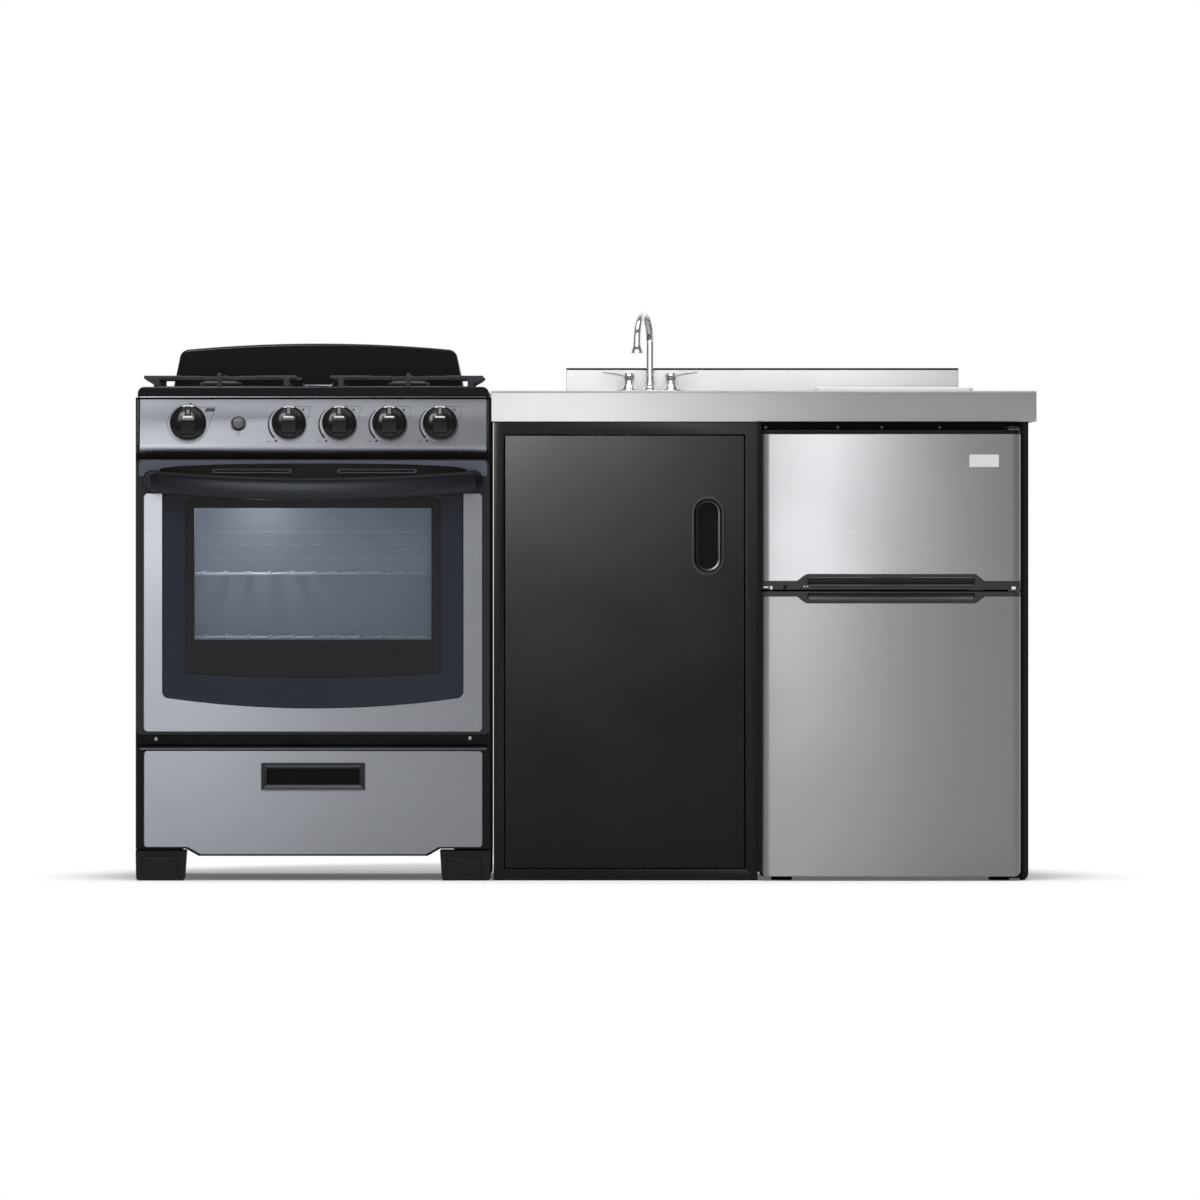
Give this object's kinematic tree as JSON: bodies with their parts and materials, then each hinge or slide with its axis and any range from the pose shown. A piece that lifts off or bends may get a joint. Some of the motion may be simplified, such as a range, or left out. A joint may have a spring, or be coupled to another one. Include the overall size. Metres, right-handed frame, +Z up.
{
  "type": "kitchenette unit with sink and hob",
  "caption": "Kitchenette unit: gas range with hob, oven and drawer beside a steel counter with sink and tap over a cabinet and a two-door refrigerator.",
  "frame": {"origin": "centre of the floor area, on the floor", "axes": "+X to the right along the front, +Y towards the wall, +Z up"},
  "size_m": [1.6374, 0.6996, 1.0399],
  "materials": {
    "steel_brushed": "horizontal brushed grain, satin",
    "chrome_bright": "polished chrome plate",
    "black_enamel": "glossy black vitreous enamel",
    "black_paint": "satin black powder coat",
    "black_plastic": "black moulded plastic, semi-gloss",
    "slate_enamel": "dark slate metallic paint",
    "cast_grate": "matt enamelled steel, fine grain",
    "oven_enamel": "speckled blue-grey oven enamel",
    "door_glass": "dark tinted oven glass",
    "shelf_glass": "clear shelf glass",
    "zinc_plate": "zinc plated steel, satin",
    "valve_brass": "turned brass",
    "white_plastic": "white polyethylene"
  },
  "bodies": {
    "unit": {"range_body": "black_enamel", "oven_liner": "oven_enamel", "oven_burner": "zinc_plate", "gas_manifold": "zinc_plate", "control_panel": "steel_brushed", "cooktop": "black_enamel", "backguard": "black_enamel", "foot_front_left": "black_plastic", "foot_front_right": "black_plastic", "foot_rear_left": "black_plastic", "foot_rear_right": "black_plastic", "burner_front_left": "black_enamel", "burner_front_right": "black_enamel", "burner_rear_left": "black_enamel", "burner_rear_right": "black_enamel", "countertop": "steel_brushed", "sink_bowl": "steel_brushed", "drain_trap": "white_plastic", "faucet_base": "chrome_bright", "cabinet_body": "black_paint", "side_panel": "black_paint", "fridge_body": "black_paint", "hinge_top": "zinc_plate", "hinge_middle": "zinc_plate", "compressor": "black_paint"},
    "oven_stem": {"oven_stem": "valve_brass"},
    "oven_knob": {"oven_knob": "black_plastic"},
    "burner_1_stem": {"burner_1_stem": "valve_brass"},
    "burner_1_knob": {"burner_1_knob": "black_plastic"},
    "burner_2_stem": {"burner_2_stem": "valve_brass"},
    "burner_2_knob": {"burner_2_knob": "black_plastic"},
    "burner_3_stem": {"burner_3_stem": "valve_brass"},
    "burner_3_knob": {"burner_3_knob": "black_plastic"},
    "burner_4_stem": {"burner_4_stem": "valve_brass"},
    "burner_4_knob": {"burner_4_knob": "black_plastic"},
    "light_button": {"light_button": "black_plastic"},
    "oven_door": {"door_frame": "slate_enamel", "door_trim": "steel_brushed", "door_glass": "door_glass", "door_inner_panel": "zinc_plate", "door_handle": "black_plastic"},
    "drawer": {"drawer_front": "steel_brushed", "drawer_box": "black_enamel", "drawer_pull": "black_plastic"},
    "oven_rack_lower": {"oven_rack_lower": "chrome_bright"},
    "oven_rack_upper": {"oven_rack_upper": "chrome_bright"},
    "grate_left": {"grate_left": "cast_grate"},
    "grate_right": {"grate_right": "cast_grate"},
    "cabinet_door": {"cabinet_door": "black_paint", "cabinet_pull": "black_plastic"},
    "freezer_door": {"freezer_door": "steel_brushed", "freezer_grip": "black_plastic"},
    "fridge_door": {"fridge_door": "steel_brushed", "fridge_grip": "black_plastic"},
    "faucet_spout": {"faucet_spout": "chrome_bright"},
    "lever_hot": {"lever_hot": "chrome_bright"},
    "lever_cold": {"lever_cold": "chrome_bright"},
    "sink_strainer": {"sink_strainer": "chrome_bright"},
    "chopping_board": {"chopping_board": "white_plastic"},
    "fridge_shelf": {"fridge_shelf": "shelf_glass"}
  },
  "joints": [
    {"name": "oven_push", "type": "slide", "parent": "unit", "child": "oven_stem", "axis": [0, 0.9426, -0.3338], "range_m": [0, 0.003], "stiffness_N_per_m": 800, "springref_m": -0.003},
    {"name": "oven_turn", "type": "hinge", "parent": "oven_stem", "child": "oven_knob", "pos_m": [-0.72285, -0.27214, 0.83], "axis": [0, -0.9426, 0.3338], "range_deg": [0, 300]},
    {"name": "burner_1_push", "type": "slide", "parent": "unit", "child": "burner_1_stem", "axis": [0, 0.9426, -0.3338], "range_m": [0, 0.003], "stiffness_N_per_m": 800, "springref_m": -0.003},
    {"name": "burner_1_turn", "type": "hinge", "parent": "burner_1_stem", "child": "burner_1_knob", "pos_m": [-0.53985, -0.27214, 0.83], "axis": [0, -0.9426, 0.3338], "range_deg": [0, 250]},
    {"name": "burner_2_push", "type": "slide", "parent": "unit", "child": "burner_2_stem", "axis": [0, 0.9426, -0.3338], "range_m": [0, 0.003], "stiffness_N_per_m": 800, "springref_m": -0.003},
    {"name": "burner_2_turn", "type": "hinge", "parent": "burner_2_stem", "child": "burner_2_knob", "pos_m": [-0.44825, -0.27214, 0.83], "axis": [0, -0.9426, 0.3338], "range_deg": [0, 250]},
    {"name": "burner_3_push", "type": "slide", "parent": "unit", "child": "burner_3_stem", "axis": [0, 0.9426, -0.3338], "range_m": [0, 0.003], "stiffness_N_per_m": 800, "springref_m": -0.003},
    {"name": "burner_3_turn", "type": "hinge", "parent": "burner_3_stem", "child": "burner_3_knob", "pos_m": [-0.35705, -0.27214, 0.83], "axis": [0, -0.9426, 0.3338], "range_deg": [0, 250]},
    {"name": "burner_4_push", "type": "slide", "parent": "unit", "child": "burner_4_stem", "axis": [0, 0.9426, -0.3338], "range_m": [0, 0.003], "stiffness_N_per_m": 800, "springref_m": -0.003},
    {"name": "burner_4_turn", "type": "hinge", "parent": "burner_4_stem", "child": "burner_4_knob", "pos_m": [-0.26525, -0.27214, 0.83], "axis": [0, -0.9426, 0.3338], "range_deg": [0, 250]},
    {"name": "light_button_push", "type": "slide", "parent": "unit", "child": "light_button", "axis": [0, 0.9426, -0.3338], "range_m": [0, 0.0025], "stiffness_N_per_m": 400, "springref_m": -0.002},
    {"name": "oven_door_hinge", "type": "hinge", "parent": "unit", "child": "oven_door", "pos_m": [-0.49565, -0.2722, 0.271], "axis": [1, 0, 0], "range_deg": [0, 90]},
    {"name": "drawer_slide", "type": "slide", "parent": "unit", "child": "drawer", "axis": [0, -1, 0], "range_m": [0, 0.38]},
    {"name": "oven_rack_lower_slide", "type": "slide", "parent": "unit", "child": "oven_rack_lower", "axis": [0, -1, 0], "range_m": [0, 0.07]},
    {"name": "oven_rack_upper_slide", "type": "slide", "parent": "unit", "child": "oven_rack_upper", "axis": [0, -1, 0], "range_m": [0, 0.07]},
    {"name": "grate_left_lift", "type": "slide", "parent": "unit", "child": "grate_left", "axis": [0, 0, 1], "range_m": [0, 0.06]},
    {"name": "grate_right_lift", "type": "slide", "parent": "unit", "child": "grate_right", "axis": [0, 0, 1], "range_m": [0, 0.06]},
    {"name": "cabinet_door_hinge", "type": "hinge", "parent": "unit", "child": "cabinet_door", "pos_m": [-0.14305, -0.2459, 0.415], "axis": [0, 0, -1], "range_deg": [0, 90]},
    {"name": "freezer_door_hinge", "type": "hinge", "parent": "unit", "child": "freezer_door", "pos_m": [0.77885, -0.2662, 0.67], "axis": [0, 0, 1], "range_deg": [0, 105]},
    {"name": "fridge_door_hinge", "type": "hinge", "parent": "unit", "child": "fridge_door", "pos_m": [0.77885, -0.2662, 0.26], "axis": [0, 0, 1], "range_deg": [0, 105]},
    {"name": "spout_swivel", "type": "hinge", "parent": "unit", "child": "faucet_spout", "pos_m": [0.11765, 0.2498, 0.95], "axis": [0, 0, 1], "range_deg": [-76, 104]},
    {"name": "lever_hot_turn", "type": "hinge", "parent": "unit", "child": "lever_hot", "pos_m": [0.07915, 0.2498, 0.92], "axis": [0, 0, 1], "range_deg": [0, 90]},
    {"name": "lever_cold_turn", "type": "hinge", "parent": "unit", "child": "lever_cold", "pos_m": [0.15615, 0.2498, 0.92], "axis": [0, 0, -1], "range_deg": [0, 90]},
    {"name": "strainer_lift", "type": "slide", "parent": "unit", "child": "sink_strainer", "axis": [0, 0, 1], "range_m": [0, 0.05]},
    {"name": "board_lift", "type": "slide", "parent": "unit", "child": "chopping_board", "axis": [0, 0, 1], "range_m": [0, 0.06]},
    {"name": "fridge_shelf_slide", "type": "slide", "parent": "unit", "child": "fridge_shelf", "axis": [0, -1, 0], "range_m": [0, 0.1]}
  ]
}
